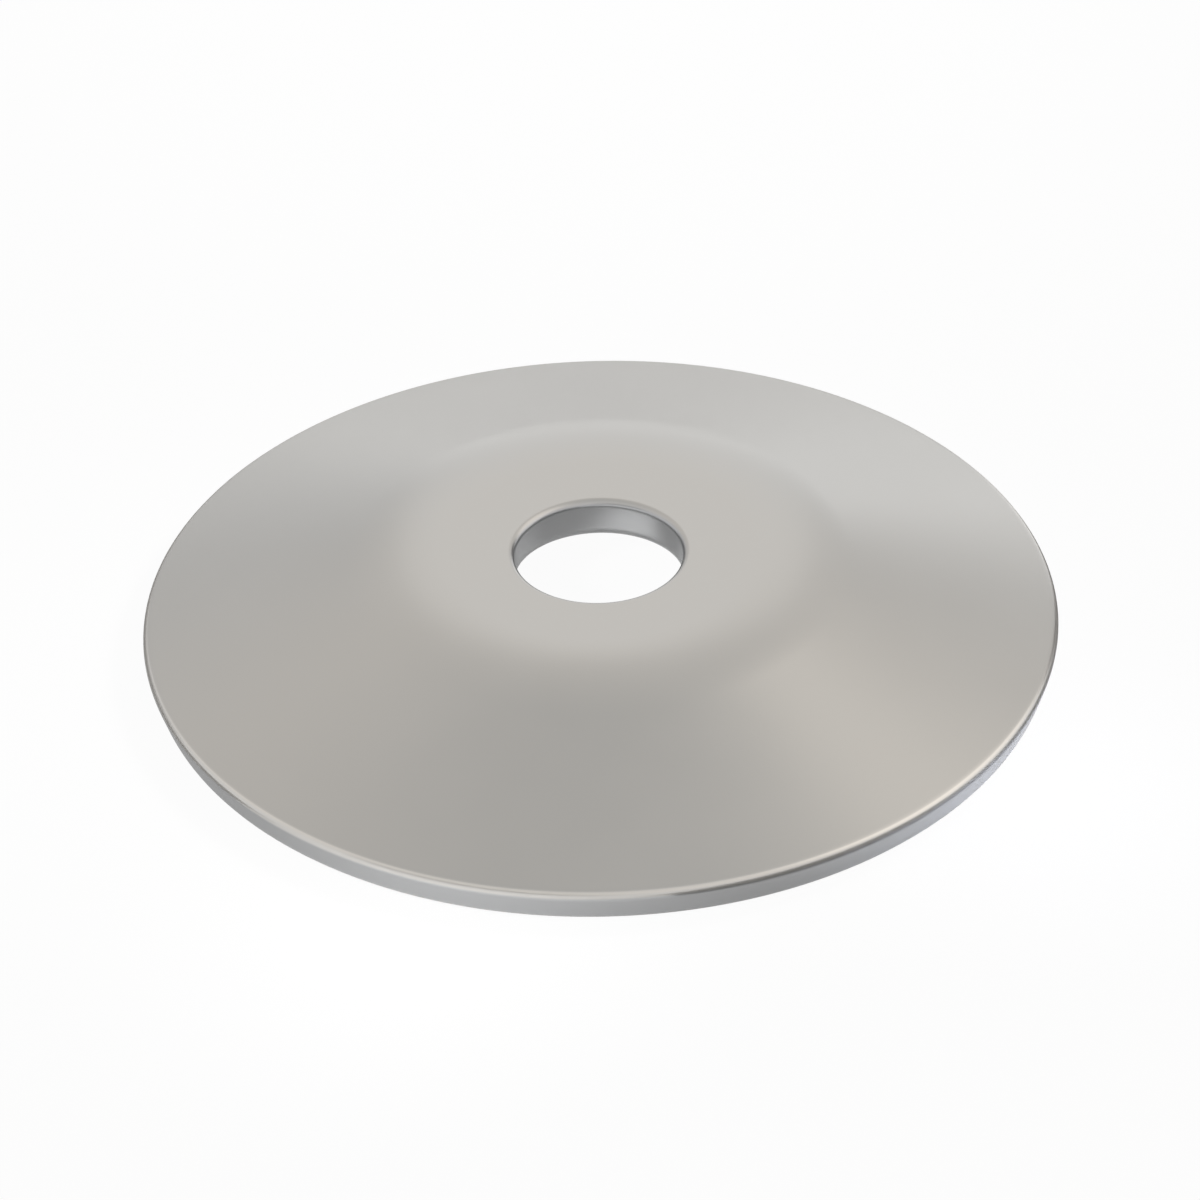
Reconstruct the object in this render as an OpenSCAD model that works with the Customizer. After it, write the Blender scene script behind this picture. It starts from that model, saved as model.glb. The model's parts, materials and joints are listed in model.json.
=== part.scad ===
// Concave washer: one disc of sheet steel, pressed into a shallow dish round a flat seat.
// Millimetres. The axis of the bore is Z, and the washer rests rim down on Z = 0.

/* [Disc] */
// Outside diameter, measured over the rounded rim
rim_d = 60; // [44:1:100]
// Diameter of the bore, a clearance hole for an M10 screw
bore_d = 11; // [4:0.5:17]
// Thickness of the sheet
sheet_t = 3; // [1.5:0.1:5]

/* [Dish] */
// Diameter of the flat seat round the bore, where a nut or a screw head bears
seat_d = 20; // [15:1:30]
// Radius of the bend from the seat into the dish, on the upper face
bend_r = 19; // [6:1:30]
// Slope of the dish below the plane of the seat, in degrees
dish_slope = 20.5; // [8:0.5:30]

/* [Edges] */
// Rounding of the upper edges, at the rim and at the bore
upper_edge_r = 0.5; // [0.2:0.1:0.9]
// Rounding of the lower edges, at the rim and at the bore
lower_edge_r = 1; // [0.2:0.1:1.5]

/* [Hidden] */
$fn = 240;

steel = [0.70, 0.69, 0.67];

// An edge never takes more than this share of the sheet, so some straight wall is always left
upper_share = 0.3;
lower_share = 0.5;
upper_r = min(upper_edge_r, upper_share * sheet_t);
lower_r = min(lower_edge_r, lower_share * sheet_t);

// The section is drawn round the centre of the bend, with the radius along X and the height along Y.
// From there the upper face lies bend_r away, and the lower face inner_bend_r.
inner_bend_r = bend_r - sheet_t;
seat_r = seat_d / 2;
bore_x = bore_d / 2 - seat_r;
rim_x = rim_d / 2 - seat_r;

// Length of the slope from the bend to the rim's edge, which is square to it, as on a blanked disc.
// What reaches rim_x is the rounded upper edge, so its centre lies upper_r inside.
slope_len = upper_r + (rim_x - upper_r - (bend_r - upper_r) * sin(dish_slope)) / cos(dish_slope);

// Height of the centre of the bend. The rounded lower edge of the rim touches Z = 0.
bend_z = lower_r + (slope_len - lower_r) * sin(dish_slope)
    - (inner_bend_r + lower_r) * cos(dish_slope);

// How far a cutting shape reaches past the metal, and a length that is larger than any of the section
past = sheet_t / 2;
far = 2 * rim_d;

// What lies outside the bend, between the level seat and the slope, where r is the face's bend radius
module bend_cut(r) {
    difference() {
        intersection() {
            square(far);
            rotate(-dish_slope)
                translate([-far, 0])
                    square(far);
        }
        circle(r);
    }
}

// All that lies below one face of the sheet, from x = left to the slope's end at run
module below_face(r, left, run) {
    difference() {
        intersection() {
            translate([left, r])
                mirror([0, 1])
                    square(far);
            rotate(-dish_slope)
                translate([run, r])
                    rotate(180)
                        square(far);
        }
        bend_cut(r);
    }
}

// What rounds a corner at the origin that has its metal to the left and below
module corner_cut(r) {
    difference() {
        translate([-r, -r])
            square(r + past);
        translate([-r, -r])
            circle(r);
    }
}

module bore_edge_cuts() {
    translate([bore_x, bend_r])
        mirror([1, 0])
            corner_cut(upper_r);
    translate([bore_x, inner_bend_r])
        rotate(180)
            corner_cut(lower_r);
}

module rim_edge_cuts() {
    rotate(-dish_slope) {
        translate([slope_len, bend_r])
            corner_cut(upper_r);
        translate([slope_len, inner_bend_r])
            mirror([0, 1])
                corner_cut(lower_r);
    }
}

// The sheet is what lies below its upper face and not below its lower one
module sheet_section() {
    difference() {
        below_face(bend_r, bore_x, slope_len);
        below_face(inner_bend_r, bore_x - past, slope_len + past);
        bore_edge_cuts();
        rim_edge_cuts();
    }
}

module washer() {
    color(steel)
        rotate_extrude()
            translate([seat_r, bend_z])
                sheet_section();
}

washer();
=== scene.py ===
# %% [markdown]
# A concave washer is a disc of sheet steel that a press has pushed into a shallow dish round a flat seat.
# Its exact solid is already packed as a frame, in metres, and everything in this scene is built round it.
# The camera, the lamps and the floor are made here too, so one file shows the whole way to the picture.

# %% Load the frame
import json
import math

import bmesh
import bpy
from mathutils import Matrix, Vector


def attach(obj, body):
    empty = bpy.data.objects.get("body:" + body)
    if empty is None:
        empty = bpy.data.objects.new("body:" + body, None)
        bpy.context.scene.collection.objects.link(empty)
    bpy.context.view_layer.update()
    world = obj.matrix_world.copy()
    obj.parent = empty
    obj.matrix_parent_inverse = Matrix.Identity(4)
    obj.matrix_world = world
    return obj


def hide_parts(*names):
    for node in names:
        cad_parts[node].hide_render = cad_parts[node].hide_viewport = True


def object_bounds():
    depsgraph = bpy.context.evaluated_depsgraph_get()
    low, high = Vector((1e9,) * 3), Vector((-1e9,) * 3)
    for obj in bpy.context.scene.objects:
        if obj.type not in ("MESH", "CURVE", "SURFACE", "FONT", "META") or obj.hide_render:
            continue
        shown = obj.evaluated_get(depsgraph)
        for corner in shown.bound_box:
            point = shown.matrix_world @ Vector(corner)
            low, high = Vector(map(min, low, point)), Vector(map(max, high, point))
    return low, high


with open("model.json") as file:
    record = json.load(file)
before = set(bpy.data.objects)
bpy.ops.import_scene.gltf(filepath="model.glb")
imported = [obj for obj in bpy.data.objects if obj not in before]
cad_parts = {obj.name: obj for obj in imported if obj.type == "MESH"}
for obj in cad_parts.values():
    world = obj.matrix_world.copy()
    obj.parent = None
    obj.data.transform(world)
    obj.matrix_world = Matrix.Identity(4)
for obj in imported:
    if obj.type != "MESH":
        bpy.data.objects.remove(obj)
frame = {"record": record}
cad_low, cad_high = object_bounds()
print("the packed washer reaches from", cad_low[:], "to", cad_high[:])

# %% [markdown]
# The sizes come first. Whatever the frame knows is read from it: the rim and the height from its box, the
# bore and the sheet from its mounts. The rest are the sizes that the press tool gives the sheet: the flat
# seat, the bend and the slope, and the two roundings that blanking and tumbling leave on the edges.

# %% Sizes of the pressed sheet
MM = 0.001
mounts = {mount["name"]: mount for mount in frame["record"]["mounts"]}

rim_r = cad_high.x
top_z = cad_high.z
bore_r = mounts["bore"]["dims"]["r_mm"] * MM
sheet_t = mounts["upper_seat"]["pos_m"][2] - mounts["lower_seat"]["pos_m"][2]

seat_r = 10 * MM
bend_r = 19 * MM
dish_slope = math.radians(20.5)
upper_edge_r = 0.5 * MM
lower_edge_r = 1 * MM

print(f"rim {rim_r / MM:.2f}, bore {bore_r / MM:.2f}, sheet {sheet_t / MM:.2f}, height {top_z / MM:.2f} mm")

# %% [markdown]
# The slope runs from the end of the bend to the rim, which is cut square to the sheet, so its length
# follows from the other sizes. It is worked out once here, and the section below walks along it.

# %% Length of the slope
bend_reach = (bend_r - upper_edge_r) * math.sin(dish_slope)
slope_len = upper_edge_r + (rim_r - seat_r - upper_edge_r - bend_reach) / math.cos(dish_slope)
print(f"the slope is {slope_len / MM:.2f} mm long")

# %% [markdown]
# A tumbled edge is no plain quarter circle. The stones of the tumbling barrel also wear the metal beside
# the edge a little, so the rounding runs out into each face through a much flatter arc, and the highlight
# on it is wide and soft. Two numbers give that run-out: its radius and how far it turns on each side.
# Only the two edges of the rim have it. The stones hardly get into the bore, whose edges stay plain.

# %% Run-out of the tumbled edges
RUN_OUT_R = 2.5 * MM
RUN_OUT_TURN = math.radians(6)


def edge_reach(edge_r):
    """How far a rounding of that radius, with its run-outs, reaches along each face from the corner."""
    run_out = RUN_OUT_R * (1 + math.sin(RUN_OUT_TURN) - math.cos(RUN_OUT_TURN))
    return run_out + edge_r * (math.cos(RUN_OUT_TURN) - math.sin(RUN_OUT_TURN))


upper_reach = edge_reach(upper_edge_r)
lower_reach = edge_reach(lower_edge_r)
print(f"an upper edge reaches {upper_reach / MM:.2f} mm, a lower one {lower_reach / MM:.2f} mm")

# %% [markdown]
# A pressed washer is the same all round, so its mesh is one section spun about the axis of the bore.
# The section is drawn as with a pen. A straight stroke extrudes the pen's vertex and moves it, and a round
# stroke spins it about a centre at its side, so each bend is a true arc with a radius of its own. A bevel
# would be shorter to write, but on a bend as flat as this one it gives part of an ellipse.

# %% Pen strokes in the XZ plane
QUARTER = math.pi / 2
BEND_STEPS = 16
EDGE_STEPS = 10
RUN_OUT_STEPS = 3


def heading_vector(heading):
    """Direction of the pen: 0 points away from the axis, and a positive angle turns it down."""
    return Vector((math.cos(heading), 0, -math.sin(heading)))


def draw_straight(bm, tip, heading, length):
    """Draws a straight line of that length and returns the vertex at its end."""
    new_tip = bmesh.ops.extrude_vert_indiv(bm, verts=[tip])["verts"][0]
    bmesh.ops.translate(bm, verts=[new_tip], vec=heading_vector(heading) * length)
    return new_tip


def draw_arc(bm, tip, heading, radius, turn, steps):
    """Draws an arc and returns the vertex at its end and the new heading. A positive turn goes down."""
    side = math.copysign(QUARTER, turn)
    centre = tip.co + heading_vector(heading + side) * radius
    made = bmesh.ops.spin(bm, geom=[tip], cent=centre, axis=(0, 1, 0), angle=turn, steps=steps)
    new_tip = [part for part in made["geom_last"] if isinstance(part, bmesh.types.BMVert)][0]
    return new_tip, heading + turn


def draw_worn_edge(bm, tip, heading, edge_r):
    """Draws an edge of the rim: run-out, rounding, run-out. Together they turn the pen by a right angle."""
    tip, heading = draw_arc(bm, tip, heading, RUN_OUT_R, RUN_OUT_TURN, RUN_OUT_STEPS)
    tip, heading = draw_arc(bm, tip, heading, edge_r, QUARTER - 2 * RUN_OUT_TURN, EDGE_STEPS)
    return draw_arc(bm, tip, heading, RUN_OUT_R, RUN_OUT_TURN, RUN_OUT_STEPS)


# %% [markdown]
# The pen starts on the flat seat, just outside the bore, and goes round the metal once: out over the bend
# and down the slope, round the rim, back up the hollow side and through the bore. The two bends share one
# centre, which keeps the sheet equally thick where it is bent, as a press does. The pen ends where it
# started, so the two vertices there are merged into one.

# %% Section of the sheet
MERGE_DISTANCE = 0.001 * MM


def draw_section(bm):
    """Draws the closed outline of the sheet, in the XZ plane."""
    tip = bm.verts.new((bore_r + upper_edge_r, 0, top_z))
    heading = 0.0
    tip = draw_straight(bm, tip, heading, seat_r - bore_r - upper_edge_r)
    tip, heading = draw_arc(bm, tip, heading, bend_r, dish_slope, BEND_STEPS)
    tip = draw_straight(bm, tip, heading, slope_len - upper_reach)
    tip, heading = draw_worn_edge(bm, tip, heading, upper_edge_r)
    tip = draw_straight(bm, tip, heading, sheet_t - upper_reach - lower_reach)
    tip, heading = draw_worn_edge(bm, tip, heading, lower_edge_r)
    tip = draw_straight(bm, tip, heading, slope_len - lower_reach)
    tip, heading = draw_arc(bm, tip, heading, bend_r - sheet_t, -dish_slope, BEND_STEPS)
    tip = draw_straight(bm, tip, heading, seat_r - bore_r - lower_edge_r)
    tip, heading = draw_arc(bm, tip, heading, lower_edge_r, QUARTER, EDGE_STEPS)
    tip = draw_straight(bm, tip, heading, sheet_t - upper_edge_r - lower_edge_r)
    draw_arc(bm, tip, heading, upper_edge_r, QUARTER, EDGE_STEPS)
    bmesh.ops.remove_doubles(bm, verts=bm.verts, dist=MERGE_DISTANCE)


# %% [markdown]
# A full turn of the section gives the washer. The faces share their vertices and are shaded smooth, and
# weighted normals, at their full weight, let the wide faces win over the narrow ones beside them. Without
# that, the highlight of each small rounding would bleed across the whole slope.

# %% Spin the section into the washer
TURN_STEPS = 288
FULL_WEIGHT = 100


def make_washer():
    """Makes the visible washer, in place, from one section."""
    bm = bmesh.new()
    draw_section(bm)
    print("section:", len(bm.edges), "edges")
    section = bm.verts[:] + bm.edges[:]
    bmesh.ops.spin(
        bm, geom=section, cent=(0, 0, 0), axis=(0, 0, 1), angle=math.tau, steps=TURN_STEPS, use_merge=True
    )
    bmesh.ops.remove_doubles(bm, verts=bm.verts, dist=MERGE_DISTANCE)
    bmesh.ops.recalc_face_normals(bm, faces=bm.faces)
    for face in bm.faces:
        face.smooth = True
    mesh = bpy.data.meshes.new("pressed_washer")
    bm.to_mesh(mesh)
    bm.free()
    piece = bpy.data.objects.new("pressed_washer", mesh)
    bpy.context.scene.collection.objects.link(piece)
    normals = piece.modifiers.new("weighted_normals", "WEIGHTED_NORMAL")
    normals.mode = "FACE_AREA"
    normals.weight = FULL_WEIGHT
    return piece


washer = make_washer()
print("washer:", len(washer.data.vertices), "vertices,", len(washer.data.polygons), "faces")

# %% [markdown]
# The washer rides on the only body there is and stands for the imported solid, which stays hidden.

# %% Put the washer in the frame
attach(washer, "root")
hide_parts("washer")
print("the washer rides on the root body and replaces the packed solid")

# %% [markdown]
# Three helpers make the materials short. Colours are written as sRGB hex values, as a colour picker shows
# them, and one function turns them to the linear values that the shader works with. Another adds a node
# with its settings. Its inputs are named as Blender names them inside, with _ for a space, and each gets
# either a value or a link. The third starts a material with nothing in it.

# %% Helpers for materials
def linear(hex_colour):
    """Linear RGBA of an sRGB hex colour."""
    values = [int(hex_colour[i : i + 2], 16) / 255 for i in (1, 3, 5)]
    return [v / 12.92 if v <= 0.04045 else ((v + 0.055) / 1.055) ** 2.4 for v in values] + [1.0]


def add_node(tree, kind, settings, **inputs):
    """Adds a node with its settings, and sets or links its inputs."""
    node = tree.nodes.new(kind)
    for name, value in settings.items():
        setattr(node, name, value)
    sockets = {socket.identifier.replace(" ", "_"): socket for socket in node.inputs}
    for name, value in inputs.items():
        if isinstance(value, bpy.types.NodeSocket):
            tree.links.new(value, sockets[name])
        else:
            sockets[name].default_value = value
    return node


def empty_material(name):
    """A new material without any nodes, and its node tree."""
    material = bpy.data.materials.new(name)
    material.use_nodes = True
    material.node_tree.nodes.clear()
    return material, material.node_tree


print(f"the grey #808080 is {linear('#808080')[0]:.3f} in linear values")

# %% [markdown]
# The washer is stainless steel sheet, and after pressing it went through a tumbling barrel, where small
# stones rub all its faces alike. So there are no brush lines on it. The faces are satin, what they mirror
# is broad and soft, and the colour is the slightly warm grey of stainless steel. One metallic shader with
# a roughness near 0.3 gives that. The light and dark on the slope come from the room and the lamps alone,
# because tones painted on the metal would be right from one side only.
#
# What the material adds are three kinds of surface: rubbed sheet, cut walls with a painted cool tint, and
# the edges of the rim with a painted highlight. The direction in which a point faces tells which one it is
# on. This cell measures that direction against the line straight out from the axis, so the result is the
# same all round the washer.

# %% Which way a point of the washer faces
steel, tree = empty_material("tumbled_stainless_steel")
place = add_node(tree, "ShaderNodeTexCoord", {})
level_place = add_node(
    tree, "ShaderNodeVectorMath", {"operation": "MULTIPLY"}, Vector=place.outputs["Object"],
    Vector_001=(1, 1, 0),
)
outward = add_node(tree, "ShaderNodeVectorMath", {"operation": "NORMALIZE"}, Vector=level_place.outputs[0])
out_part = add_node(
    tree, "ShaderNodeVectorMath", {"operation": "DOT_PRODUCT"}, Vector=outward.outputs[0],
    Vector_001=place.outputs["Normal"],
)
up_part = add_node(tree, "ShaderNodeSeparateXYZ", {}, Vector=place.outputs["Normal"])
facing = add_node(
    tree, "ShaderNodeCombineXYZ", {}, X=out_part.outputs["Value"], Z=up_part.outputs["Z"]
)
print("steel: facing is an outward part and an upward part")

# %% [markdown]
# The bore and the rim are cut by a punch, not rolled. It drags the metal along and leaves fine lines that
# run across the thickness of the sheet. A wall faces inward or outward much more than the slope does, so
# the size of the outward part alone finds both walls.

# %% Cut walls
WALL_FROM = 0.4
WALL_TO = 0.9

out_size = add_node(tree, "ShaderNodeMath", {"operation": "ABSOLUTE"}, Value=out_part.outputs["Value"])
cut = add_node(
    tree, "ShaderNodeMapRange", {"interpolation_type": "SMOOTHSTEP"}, Value=out_size.outputs[0],
    From_Min=WALL_FROM, From_Max=WALL_TO,
)
print(f"steel: a wall has an outward part over {WALL_FROM}, the slope has {math.sin(dish_slope):.2f}")

# %% [markdown]
# The edges of the rim get a much lighter colour than the faces, and that colour is a painted highlight. It
# is the light line round the washer, and a plain rounding of the same metal shows only half of it. The
# painted highlight is strongest in the middle of a rounding and fades out towards the slope and towards
# the wall. So the facing is compared with two directions, along the slope and square to it. The first
# tells how far a point has turned away from the slope, the second how far from the wall, and the highlight
# needs both. The limits are parts of a direction of length one. A third part keeps the mask near the rim,
# because the hollow side has faces further in that look alike.

# %% Painted highlight on the edges of the rim
OFF_SLOPE_FROM = 0.05
OFF_SLOPE_TO = 0.28
OFF_WALL_FROM = 0.2
OFF_WALL_TO = 0.6
RIM_BAND_FROM = rim_r - 5 * MM
RIM_BAND_TO = rim_r - 3 * MM

along_slope = (math.cos(dish_slope), 0, -math.sin(dish_slope))
off_slope = (math.sin(dish_slope), 0, math.cos(dish_slope))
turned_out = add_node(
    tree, "ShaderNodeVectorMath", {"operation": "DOT_PRODUCT"}, Vector=facing.outputs[0],
    Vector_001=along_slope,
)
turned_up = add_node(
    tree, "ShaderNodeVectorMath", {"operation": "DOT_PRODUCT"}, Vector=facing.outputs[0],
    Vector_001=off_slope,
)
from_wall = add_node(tree, "ShaderNodeMath", {"operation": "ABSOLUTE"}, Value=turned_up.outputs["Value"])
clear_of_slope = add_node(
    tree, "ShaderNodeMapRange", {"interpolation_type": "SMOOTHSTEP"}, Value=turned_out.outputs["Value"],
    From_Min=OFF_SLOPE_FROM, From_Max=OFF_SLOPE_TO,
)
clear_of_wall = add_node(
    tree, "ShaderNodeMapRange", {"interpolation_type": "SMOOTHSTEP"}, Value=from_wall.outputs[0],
    From_Min=OFF_WALL_FROM, From_Max=OFF_WALL_TO,
)
from_axis = add_node(tree, "ShaderNodeVectorMath", {"operation": "LENGTH"}, Vector=level_place.outputs[0])
at_rim = add_node(
    tree, "ShaderNodeMapRange", {"interpolation_type": "SMOOTHSTEP"}, Value=from_axis.outputs["Value"],
    From_Min=RIM_BAND_FROM, From_Max=RIM_BAND_TO,
)
turned = add_node(
    tree, "ShaderNodeMath", {"operation": "MULTIPLY"}, Value=clear_of_slope.outputs[0],
    Value_001=clear_of_wall.outputs[0],
)
# Mask of the painted highlight on the rounding of the rim.
paint_highlighted = add_node(
    tree, "ShaderNodeMath", {"operation": "MULTIPLY"}, Value=turned.outputs[0], Value_001=at_rim.outputs[0]
)
print(f"steel: the edges are worn from {RIM_BAND_TO / MM:.0f} mm off the axis outwards")

# %% [markdown]
# Three patterns break up the evenness. Uneven rubbing leaves soft patches, about 9 mm wide, on which the
# gloss and the tone differ a little. The stones leave short scuffs without a direction, about 0.05 mm
# wide, and the punch leaves its lines about 0.1 mm apart. Both are too fine for a picture of the whole
# washer, so they are drawn 0.25 mm wide, and very shallow. The lines have to run straight across the
# sheet, also on the rim, whose wall leans. So their noise doesn't read the place itself. It reads the
# outward direction times the radius of the wall, which is the same from the top of the wall to its foot.

# %% Patches, scuffs and punch lines
PATCH_WIDTH = 9 * MM
GRAIN_WIDTH = 0.25 * MM

patches = add_node(
    tree, "ShaderNodeTexNoise", {}, Vector=place.outputs["Object"], Scale=1 / PATCH_WIDTH, Detail=2.0
)
scuffs = add_node(
    tree, "ShaderNodeTexNoise", {}, Vector=place.outputs["Object"], Scale=1 / GRAIN_WIDTH, Detail=3.0
)
wall_r = add_node(
    tree, "ShaderNodeMapRange", {}, Value=at_rim.outputs[0], To_Min=bore_r, To_Max=rim_r
)
along_wall = add_node(
    tree, "ShaderNodeVectorMath", {"operation": "SCALE"}, Vector=outward.outputs[0],
    Scale=wall_r.outputs[0],
)
punch_lines = add_node(
    tree, "ShaderNodeTexNoise", {}, Vector=along_wall.outputs[0], Scale=1 / GRAIN_WIDTH, Detail=2.0
)
print(f"steel: patches of {PATCH_WIDTH / MM:.0f} mm, scuffs and punch lines of {GRAIN_WIDTH / MM:.2f} mm")

# %% [markdown]
# Now the masks and patterns meet in one shader. The sheet is a warm grey in two near tones. The cut walls
# are a neutral, cooler grey, a painted tint for the cool light that they mirror from below, and the edges
# of the rim are much lighter, which is a painted highlight. The roughness stays between 0.28 and 0.31:
# smoother metal would mirror the lamps as patches with an outline, and the real washer shows none. Noise
# mostly lies between 0.3 and 0.7, so that span is spread over the roughness. The bump is 0.003 mm deep on
# the sheet, and a fifth of that on the walls. That is little, and only takes the last perfection away.

# %% Tumbled stainless steel
SMOOTHEST = 0.28
ROUGHEST = 0.31
NOISE_LOW = 0.3
NOISE_HIGH = 0.7
BUMP_DEPTH = 0.003 * MM
WALL_BUMP_SHARE = 0.2

sheet_colour = add_node(
    tree, "ShaderNodeMix", {"data_type": "RGBA"}, Factor_Float=patches.outputs["Fac"],
    A_Color=linear("#B4B3B0"), B_Color=linear("#B8B7B4"),
)
# The cooler grey #B6B7B8 on the cut walls is a painted tint for the cool light that they mirror from below.
with_painted_wall_tint = add_node(
    tree, "ShaderNodeMix", {"data_type": "RGBA"}, Factor_Float=cut.outputs[0],
    A_Color=sheet_colour.outputs["Result"], B_Color=linear("#B6B7B8"),
)
# The light colour #D2D0CC on the edges of the rim is a painted highlight.
with_painted_highlight = add_node(
    tree, "ShaderNodeMix", {"data_type": "RGBA"}, Factor_Float=paint_highlighted.outputs[0],
    A_Color=with_painted_wall_tint.outputs["Result"], B_Color=linear("#D2D0CC"),
)
roughness = add_node(
    tree, "ShaderNodeMapRange", {}, Value=patches.outputs["Fac"], From_Min=NOISE_LOW, From_Max=NOISE_HIGH,
    To_Min=SMOOTHEST, To_Max=ROUGHEST,
)
grain = add_node(
    tree, "ShaderNodeMix", {"data_type": "FLOAT"}, Factor_Float=cut.outputs[0],
    A_Float=scuffs.outputs["Fac"], B_Float=punch_lines.outputs["Fac"],
)
shallow = add_node(
    tree, "ShaderNodeMapRange", {}, Value=cut.outputs[0], To_Min=1.0, To_Max=WALL_BUMP_SHARE
)
bump = add_node(
    tree, "ShaderNodeBump", {}, Height=grain.outputs["Result"], Strength=shallow.outputs[0],
    Distance=BUMP_DEPTH,
)
metal = add_node(
    tree, "ShaderNodeBsdfPrincipled", {}, Base_Color=with_painted_highlight.outputs["Result"], Metallic=1.0,
    Roughness=roughness.outputs[0], Normal=bump.outputs[0],
)
add_node(tree, "ShaderNodeOutputMaterial", {}, Surface=metal.outputs["BSDF"])
washer.data.materials.append(steel)
print("material:", steel.name, "with", len(tree.nodes), "nodes")

# %% [markdown]
# The washer lies on a sheet of pale paper, which has to look white in the picture. More light would do
# that, but the metal would get it as well. So the paper is grey and plainly lit, and to the camera it is
# nearly all white by itself: the Light Path node tells which rays come from the camera. A small lit share
# stays, and carries the shadow of the washer. Metal would show dark paper, so mirrored rays get some of
# that white too.

# %% Backdrop paper
WHITE_TO_CAMERA = 0.96
WHITE_TO_METAL = 0.38


def make_paper():
    """Backdrop paper: matt and pale grey, and white by itself to the camera."""
    material, tree = empty_material("pale_backdrop_paper")
    path = add_node(tree, "ShaderNodeLightPath", {})
    mirrored = add_node(
        tree, "ShaderNodeMath", {"operation": "MAXIMUM"}, Value=path.outputs["Is Glossy Ray"],
        Value_001=path.outputs["Is Transmission Ray"],
    )
    to_metal = add_node(
        tree, "ShaderNodeMath", {"operation": "MULTIPLY"}, Value=mirrored.outputs[0],
        Value_001=WHITE_TO_METAL,
    )
    share = add_node(
        tree, "ShaderNodeMath", {"operation": "MULTIPLY_ADD"}, Value=path.outputs["Is Camera Ray"],
        Value_001=WHITE_TO_CAMERA, Value_002=to_metal.outputs[0],
    )
    paper = add_node(tree, "ShaderNodeBsdfDiffuse", {}, Color=linear("#B3B3B3"))
    white = add_node(tree, "ShaderNodeEmission", {}, Color=linear("#FFFFFF"), Strength=1.0)
    both = add_node(
        tree, "ShaderNodeMixShader", {}, Fac=share.outputs[0], Shader=paper.outputs[0],
        Shader_001=white.outputs[0],
    )
    add_node(tree, "ShaderNodeOutputMaterial", {}, Surface=both.outputs[0])
    return material


paper_sheet = make_paper()
print("material:", paper_sheet.name)

# %% [markdown]
# The sheet of paper is one flat square, two metres wide, so that its ends are far outside the picture. It
# is no part of the washer, and neither are the cards that come later. A helper puts such things on the
# stage.

# %% Floor
FLOOR_HALF = 1.0


def make_stage_piece(bm, name, material):
    """Turns a bmesh into an object of the stage, which is no part of the washer."""
    mesh = bpy.data.meshes.new(name)
    bm.to_mesh(mesh)
    bm.free()
    piece = bpy.data.objects.new(name, mesh)
    bpy.context.scene.collection.objects.link(piece)
    piece.data.materials.append(material)
    return piece


bm = bmesh.new()
bmesh.ops.create_grid(bm, x_segments=1, y_segments=1, size=FLOOR_HALF)
floor = make_stage_piece(bm, "floor", paper_sheet)
print("floor:", floor.dimensions[:])

# %% [markdown]
# Satin metal is little more than a blurred picture of the room, so the room is most of the look. It is a
# pale studio with white walls near the floor, a softer grey behind the lamps, and a warmer tone overhead.
# One ramp over the height of a direction makes it, which is simpler than building walls and gives no
# corners to see in the metal. The camera gets plain white instead.

# %% Room
ROOM_STRENGTH = 1.16


def make_room():
    """A pale studio: white at the horizon, greyer above it, and white to the camera."""
    world = bpy.data.worlds.new("pale_studio")
    world.use_nodes = True
    tree = world.node_tree
    tree.nodes.clear()
    way = add_node(tree, "ShaderNodeTexCoord", {})
    height = add_node(tree, "ShaderNodeSeparateXYZ", {}, Vector=way.outputs["Generated"])
    tone = add_node(tree, "ShaderNodeValToRGB", {}, Fac=height.outputs["Z"])
    ramp = tone.color_ramp
    ramp.elements[0].color = linear("#FFFFFF")
    ramp.elements[1].color = linear("#D4D3D2")
    ramp.elements.new(0.25).color = linear("#DBDBDC")
    ramp.elements.new(0.7).color = linear("#ECE8E4")
    room = add_node(tree, "ShaderNodeBackground", {}, Color=tone.outputs["Color"], Strength=ROOM_STRENGTH)
    white = add_node(tree, "ShaderNodeBackground", {}, Color=linear("#FFFFFF"), Strength=1.0)
    path = add_node(tree, "ShaderNodeLightPath", {})
    both = add_node(
        tree, "ShaderNodeMixShader", {}, Fac=path.outputs["Is Camera Ray"], Shader=room.outputs[0],
        Shader_001=white.outputs[0],
    )
    add_node(tree, "ShaderNodeOutputWorld", {}, Surface=both.outputs[0])
    return world


bpy.context.scene.world = make_room()
print("room:", bpy.context.scene.world.name)

# %% [markdown]
# Lamps and cards are placed as the metal sees them, by a direction. It is given in degrees, round the axis
# and up from the floor. One helper turns it to a vector, and another gives the rotation that faces that
# way. The third hangs a lamp over the place that it should light, where the camera doesn't see it.

# %% Directions and lamps
def direction_to(azimuth, elevation):
    """Unit vector to a place in the room. Azimuth 0 is behind the washer, and 90 is at its right."""
    azimuth = math.radians(azimuth)
    elevation = math.radians(elevation)
    level = math.cos(elevation)
    return Vector((math.sin(azimuth) * level, math.cos(azimuth) * level, math.sin(elevation)))


def turn_to(direction):
    """Rotation that turns the Z axis to that direction."""
    return direction.to_track_quat("Z", "Y").to_matrix().to_4x4()


def hang_lamp(name, data, place, direction, distance):
    """Hangs a lamp over a place, in that direction, and turns it to face the place."""
    lamp = bpy.data.objects.new(name, data)
    bpy.context.scene.collection.objects.link(lamp)
    lamp.matrix_world = Matrix.Translation(Vector(place) + direction * distance) @ turn_to(direction)
    lamp.visible_camera = False
    return lamp


print("azimuth 90 and elevation 30 point to", direction_to(90, 30)[:])

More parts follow.
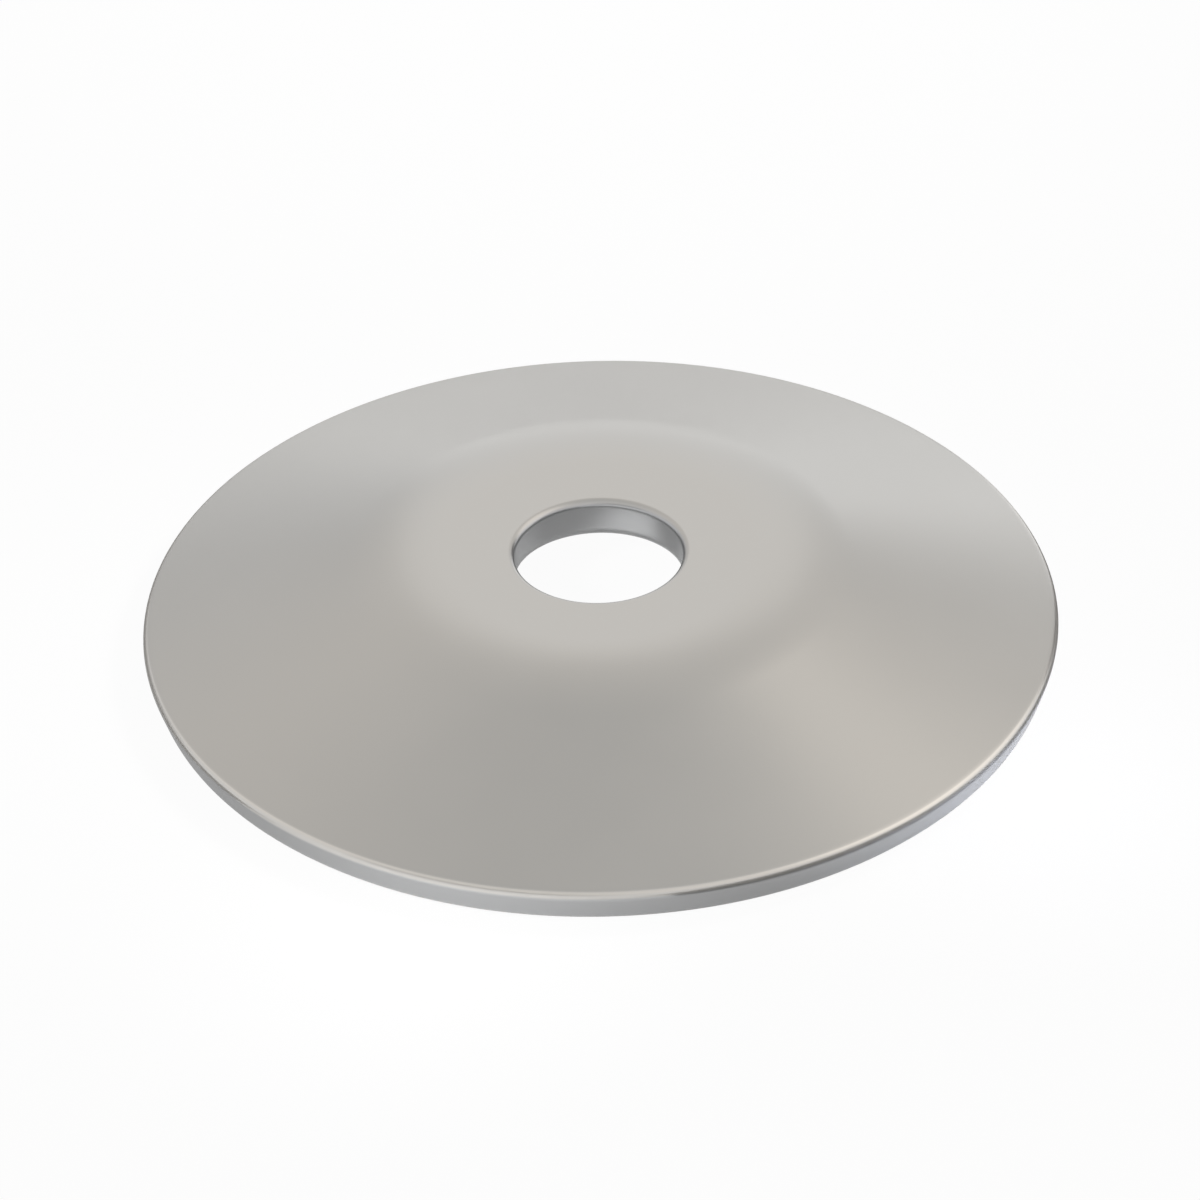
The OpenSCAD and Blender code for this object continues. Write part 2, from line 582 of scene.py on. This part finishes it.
# %% [markdown]
# The photograph has a broad light fan on the right of the slope, another one at the back right, and a
# quiet grey front. On a cone, each strip from the seat to the rim is nearly flat and mirrors one place of
# the room, so each fan is the mirror image of one lamp, and its azimuth follows from where the fan lies.
# A large soft box at the right gives the first fan, a panel and a low strip behind give the second, and a
# weak strip low in front lifts the left edge. Their half widths and heights are in degrees too. An area
# lamp in Cycles lets the room behind it through, so the brightness is what it adds to the room: 1 would be
# as bright again as white paper.

# %% Soft boxes
LAMP_DISTANCE = 1.0


def hang_soft_box(name, azimuth, elevation, half_width, half_height, brightness, colour="#FFFFFF"):
    """Hangs a soft box that faces the washer."""
    data = bpy.data.lights.new(name, "AREA")
    data.shape = "RECTANGLE"
    data.size = 2 * LAMP_DISTANCE * math.tan(math.radians(half_width))
    data.size_y = 2 * LAMP_DISTANCE * math.tan(math.radians(half_height))
    data.energy = brightness * math.pi * data.size * data.size_y
    data.color = linear(colour)[:3]
    hang_lamp(name, data, (0, 0, 0), direction_to(azimuth, elevation), LAMP_DISTANCE)
    print(f"{name}: {data.size:.2f} by {data.size_y:.2f} m, {data.energy:.1f} W")


hang_soft_box(
    "right_soft_box", azimuth=79, elevation=40, half_width=24, half_height=27, brightness=0.47,
    colour="#FFF6EA",
)
hang_soft_box("back_panel", azimuth=2, elevation=20, half_width=13, half_height=27, brightness=0.26)
hang_soft_box("low_strip", azimuth=21, elevation=7, half_width=5, half_height=11, brightness=0.56)
hang_soft_box("front_strip", azimuth=-140, elevation=7, half_width=35, half_height=7, brightness=0.24)

# %% [markdown]
# A bright edge looks crisp only beside a dark one. Photographers put card of several greys round metal for
# that, and so does this scene. Its cards show in the metal only, so the picture keeps its white floor.

# %% Card stock
CARD_DISTANCE = 0.8


def make_card_stock(name, colour):
    """Matt card of one colour, without any gloss."""
    material, tree = empty_material(name)
    stock = add_node(tree, "ShaderNodeBsdfDiffuse", {}, Color=linear(colour))
    add_node(tree, "ShaderNodeOutputMaterial", {}, Surface=stock.outputs[0])
    return material


def place_card(bm, name, stock):
    """Puts a card on the stage, where only the metal shows it."""
    card = make_stage_piece(bm, name, stock)
    card.visible_camera = False
    card.visible_diffuse = False
    card.visible_shadow = False
    print(name, "is in place")


black_card = make_card_stock("black_card_stock", "#202020")
grey_card = make_card_stock("grey_card_stock", "#808080")
pale_card = make_card_stock("pale_card_stock", "#C8C8C8")
print("materials:", black_card.name, grey_card.name, pale_card.name)

# %% [markdown]
# Three cards stand on the floor. A black one gives the dark strip at the right end of the slope, another
# the dark side of the front edge, and a pale one calms the light line at the left end of the rim. A card
# is a unit grid, stretched, stood up and moved to its place.

# %% Standing cards
def put_card(name, stock, width, height, matrix):
    """Cuts a card to its size and moves it to its place."""
    bm = bmesh.new()
    bmesh.ops.create_grid(bm, x_segments=1, y_segments=1, size=0.5)
    bmesh.ops.scale(bm, verts=bm.verts, vec=(width, height, 1))
    bmesh.ops.transform(bm, verts=bm.verts, matrix=matrix)
    place_card(bm, name, stock)


def stand_card(name, stock, azimuth, width, height):
    """Stands a card on the floor, square to the washer."""
    middle = Matrix.Translation(direction_to(azimuth, 0) * CARD_DISTANCE + Vector((0, 0, height / 2)))
    turn = Matrix.Rotation(-math.radians(azimuth), 4, "Z") @ Matrix.Rotation(QUARTER, 4, "X")
    put_card(name, stock, width, height, middle @ turn)


stand_card("front_card", black_card, azimuth=127, width=1.0, height=0.16)
stand_card("back_card", black_card, azimuth=42, width=0.22, height=0.32)
stand_card("left_card", pale_card, azimuth=-42, width=0.6, height=0.14)

# %% [markdown]
# In the photograph the light line on the front edge is double, and an even room gives a single broad one.
# So a narrow grey card hangs at the left of the camera. The middle of the rounding mirrors it, and the
# metal above and below the middle looks past it.

# %% Hanging card
def hang_card(name, stock, azimuth, elevation, width, height):
    """Hangs a card in the room, face to the washer."""
    direction = direction_to(azimuth, elevation)
    middle = Matrix.Translation(direction * CARD_DISTANCE)
    put_card(name, stock, width, height, middle @ turn_to(direction))


hang_card("front_left_card", grey_card, azimuth=-150, elevation=31, width=0.85, height=0.12)

# %% [markdown]
# Two bows of grey card lie round the washer. The rounding of the rim mirrors them as the thin darker line
# under its highlight. A bow is one edge, drawn from its inner to its outer radius and spun part of a turn
# round the axis of the bore. It lies just over the paper, so that the two don't share a plane.

# %% Lying cards
CARD_Z = 0.3 * MM
BOW_STEPS = 24


def lay_card(name, stock, azimuth_from, azimuth_to, inner_r, outer_r):
    """Lays a bow of card round the washer, from one azimuth to another."""
    bm = bmesh.new()
    inner = bm.verts.new(direction_to(azimuth_from, 0) * inner_r)
    outer = bm.verts.new(direction_to(azimuth_from, 0) * outer_r)
    edge = bm.edges.new((inner, outer))
    sweep = math.radians(azimuth_from - azimuth_to)
    bmesh.ops.spin(
        bm, geom=[inner, outer, edge], cent=(0, 0, 0), axis=(0, 0, 1), angle=sweep, steps=BOW_STEPS
    )
    bmesh.ops.translate(bm, verts=bm.verts, vec=(0, 0, CARD_Z))
    place_card(bm, name, stock)


lay_card("right_bow", grey_card, azimuth_from=60, azimuth_to=171, inner_r=31 * MM, outer_r=55 * MM)
lay_card("left_bow", grey_card, azimuth_from=-122, azimuth_to=-40, inner_r=32 * MM, outer_r=60 * MM)

# %% [markdown]
# The wall of the rim leans down to the floor, and the wall of the bore faces the camera through the
# hole. Both mirror the paper close by, which the washer itself shades, so they would be flat and dull.
# Small spot lamps light that paper from outside and through the bore, and give the walls their light
# parts: two on the rim, a large and a small one in the bore, and one behind for the back of the slope.
# The metal shows the lit paper and not the lamp. A spot lamp throws its light on a circle, so the width
# of that circle is what is written here, and its cone follows from it. The brightness is again a part of
# white paper: with 1, the lamp alone would light white paper to plain white.

# %% Pools of light on the floor
def light_floor(name, place, azimuth, elevation, distance, width, lamp_r, brightness, colour="#FFFFFF"):
    """Lights a round patch of the floor with a small spot lamp that the metal itself doesn't show."""
    data = bpy.data.lights.new(name, "SPOT")
    data.spot_size = 2 * math.atan(width / 2 / distance)
    data.spot_blend = 1.0
    data.shadow_soft_size = lamp_r
    data.energy = brightness * 4 * math.pi**2 * distance**2
    data.color = linear(colour)[:3]
    lamp = hang_lamp(name, data, place, direction_to(azimuth, elevation), distance)
    lamp.visible_glossy = False
    print(f"{name}: {width / MM:.0f} mm wide, {data.energy:.2f} W")


light_floor(
    "front_left_pool", place=(-12 * MM, -31 * MM, 0), azimuth=-150, elevation=60, distance=0.4,
    width=36 * MM, lamp_r=10 * MM, brightness=1.75,
)
light_floor(
    "right_pool", place=(29 * MM, -17 * MM, 0), azimuth=125, elevation=60, distance=0.4,
    width=30 * MM, lamp_r=10 * MM, brightness=2.2, colour="#E4EBFF",
)
light_floor(
    "back_pool", place=(0, 85 * MM, 0), azimuth=0, elevation=60, distance=0.4,
    width=110 * MM, lamp_r=10 * MM, brightness=0.95,
)
light_floor(
    "bore_pool", place=(-5 * MM, -1.5 * MM, 0), azimuth=73, elevation=53, distance=0.08,
    width=56 * MM, lamp_r=22 * MM, brightness=4.6,
)
light_floor(
    "bore_left_pool", place=(3 * MM, 8 * MM, 0), azimuth=-153, elevation=38, distance=0.12,
    width=22 * MM, lamp_r=8 * MM, brightness=1.3,
)

# %% [markdown]
# In the photograph the near and the far half of the rim are equally long, which means a long lens from
# far off. An orthographic camera is exactly that. The ratio of the rim's height to its width gives the
# elevation, 35.8 degrees, and the slight slant of the ellipse gives a roll of 1.5 degrees. The view width
# makes the washer as large in the frame as it is there.

# %% Camera
CAMERA_ELEVATION = math.radians(35.8)
CAMERA_ROLL = math.radians(-1.5)
VIEW_WIDTH = 78.6 * MM
AIM = Vector((0, 0, 4.8)) * MM
CAMERA_DISTANCE = 300 * MM

camera_data = bpy.data.cameras.new("camera")
camera_data.type = "ORTHO"
camera_data.ortho_scale = VIEW_WIDTH
camera = bpy.data.objects.new("camera", camera_data)
bpy.context.scene.collection.objects.link(camera)
turn = Matrix.Rotation(QUARTER - CAMERA_ELEVATION, 4, "X") @ Matrix.Rotation(CAMERA_ROLL, 4, "Z")
camera.matrix_world = Matrix.Translation(AIM) @ turn @ Matrix.Translation((0, 0, CAMERA_DISTANCE))
bpy.context.scene.camera = camera
print("camera at", camera.matrix_world.translation[:])

# %% [markdown]
# The Standard view shows each colour as it is written, which a product picture needs. The worn edges only
# take metal away, so the visible washer may not be larger than the imported solid.

# %% View and finish
bpy.context.scene.view_settings.view_transform = "Standard"
